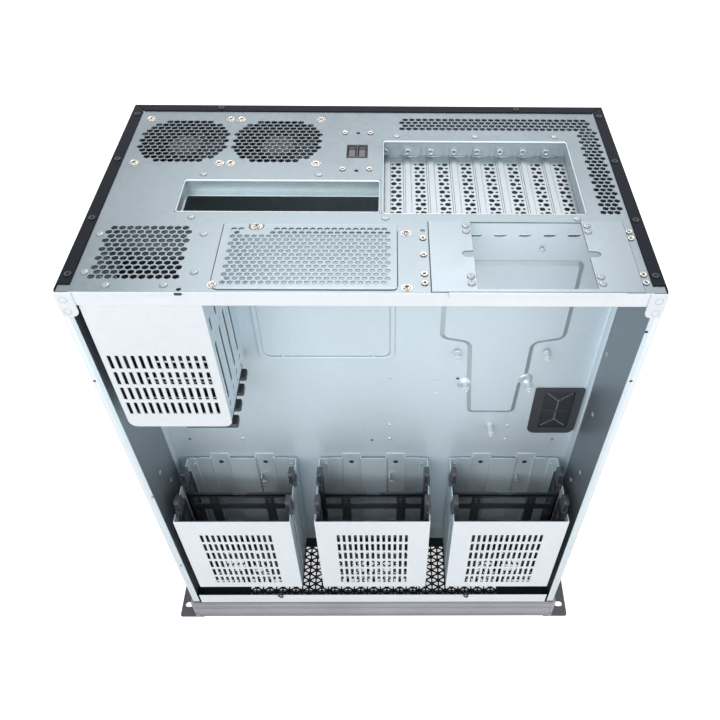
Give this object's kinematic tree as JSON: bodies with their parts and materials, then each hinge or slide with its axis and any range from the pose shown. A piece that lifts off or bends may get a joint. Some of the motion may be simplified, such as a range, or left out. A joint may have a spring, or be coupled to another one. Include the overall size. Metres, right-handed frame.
{
  "type": "rackmount server case",
  "caption": "Empty rackmount server case with drive cages and sleds, expansion slots, rear fans, vented rear panel and mesh bezel.",
  "frame": {"origin": "centre of the case's width and height at the front face of the rack ears", "axes": "+Z from the front bezel to the rear panel, +X to the right seen from the open access side, +Y from the open access side to the closed cover"},
  "size_m": [0.4826, 0.26, 0.5338],
  "materials": {
    "zinc_steel": "satin zinc coat",
    "zinc_light": "satin zinc coat, pale",
    "wall_steel": "satin zinc coat, shaded",
    "black_paint": "fine matt powder coat",
    "mesh_paint": "matt powder coat",
    "ear_paint": "matt powder coat",
    "bezel_grey": "satin anodised",
    "sled_plastic": "matt",
    "tray_plastic": "matt",
    "fan_plastic": "matt",
    "grommet_rubber": "matt",
    "screw_steel": "bright zinc",
    "screw_black": "black oxide"
  },
  "bodies": {
    "chassis": {"side_panel_right": "black_paint", "side_panel_left": "black_paint", "side_wall_right": "wall_steel", "side_wall_left": "wall_steel", "corner_plate_right": "zinc_light", "corner_plate_left": "zinc_light", "rack_ear_right": "ear_paint", "rack_ear_left": "ear_paint", "top_cover": "black_paint", "rear_panel": "zinc_steel", "io_slot_bay": "zinc_steel", "slot_cover_1": "zinc_steel", "slot_cover_2": "zinc_steel", "slot_cover_3": "zinc_steel", "slot_cover_4": "zinc_steel", "slot_cover_5": "zinc_steel", "slot_cover_6": "zinc_steel", "slot_cover_7": "zinc_steel", "slot_cover_8": "zinc_steel", "psu_blank_plate": "zinc_steel", "psu_bracket": "zinc_steel", "socket_module": "fan_plastic", "fan_1_frame": "fan_plastic", "fan_2_frame": "fan_plastic", "mid_tray": "zinc_steel", "cable_grommet": "grommet_rubber", "rear_cage": "zinc_light", "drive_cage_left": "zinc_light", "drive_cage_middle": "zinc_light", "drive_cage_right": "zinc_light", "cage_back_left": "zinc_steel", "cage_back_middle": "zinc_steel", "cage_back_right": "zinc_steel", "front_panel": "zinc_steel", "front_mesh": "mesh_paint", "mesh_hooks": "mesh_paint", "bezel_frame": "bezel_grey", "tray_standoffs": "screw_steel", "fan_screws": "screw_steel", "flange_screws": "screw_black", "panel_rivets": "screw_steel", "panel_screws": "screw_steel", "blank_screws": "screw_steel", "bracket_studs": "screw_steel", "corner_rivets": "screw_steel", "slot_screws": "screw_steel", "tray_screws": "screw_steel"},
    "sled_left_near": {"sled_left_near": "sled_plastic"},
    "sled_left_far": {"sled_left_far": "sled_plastic"},
    "sled_middle_near": {"sled_middle_near": "sled_plastic"},
    "sled_middle_far": {"sled_middle_far": "sled_plastic"},
    "sled_right_near": {"sled_right_near": "sled_plastic"},
    "sled_right_far": {"sled_right_far": "sled_plastic"},
    "ssd_tray_1": {"ssd_tray_1": "tray_plastic"},
    "ssd_tray_2": {"ssd_tray_2": "tray_plastic"},
    "ssd_tray_3": {"ssd_tray_3": "tray_plastic"},
    "ssd_tray_4": {"ssd_tray_4": "tray_plastic"},
    "fan_1_rotor": {"fan_1_rotor": "fan_plastic"},
    "fan_2_rotor": {"fan_2_rotor": "fan_plastic"}
  },
  "joints": [
    {"name": "sled_left_near_slide", "type": "slide", "parent": "chassis", "child": "sled_left_near", "axis": [0, 0, 1], "range_m": [0, 0.07]},
    {"name": "sled_left_far_slide", "type": "slide", "parent": "chassis", "child": "sled_left_far", "axis": [0, 0, 1], "range_m": [0, 0.07]},
    {"name": "sled_middle_near_slide", "type": "slide", "parent": "chassis", "child": "sled_middle_near", "axis": [0, 0, 1], "range_m": [0, 0.12]},
    {"name": "sled_middle_far_slide", "type": "slide", "parent": "chassis", "child": "sled_middle_far", "axis": [0, 0, 1], "range_m": [0, 0.12]},
    {"name": "sled_right_near_slide", "type": "slide", "parent": "chassis", "child": "sled_right_near", "axis": [0, 0, 1], "range_m": [0, 0.12]},
    {"name": "sled_right_far_slide", "type": "slide", "parent": "chassis", "child": "sled_right_far", "axis": [0, 0, 1], "range_m": [0, 0.12]},
    {"name": "ssd_tray_1_slide", "type": "slide", "parent": "chassis", "child": "ssd_tray_1", "axis": [0, 0, -1], "range_m": [0, 0.06]},
    {"name": "ssd_tray_2_slide", "type": "slide", "parent": "chassis", "child": "ssd_tray_2", "axis": [0, 0, -1], "range_m": [0, 0.06]},
    {"name": "ssd_tray_3_slide", "type": "slide", "parent": "chassis", "child": "ssd_tray_3", "axis": [0, 0, -1], "range_m": [0, 0.06]},
    {"name": "ssd_tray_4_slide", "type": "slide", "parent": "chassis", "child": "ssd_tray_4", "axis": [0, 0, -1], "range_m": [0, 0.06]},
    {"name": "fan_1_spin", "type": "hinge", "parent": "chassis", "child": "fan_1_rotor", "pos_m": [-0.1597, 0.0702, 0.517], "axis": [0, 0, 1], "continuous": true},
    {"name": "fan_2_spin", "type": "hinge", "parent": "chassis", "child": "fan_2_rotor", "pos_m": [-0.0788, 0.0702, 0.517], "axis": [0, 0, 1], "continuous": true}
  ]
}
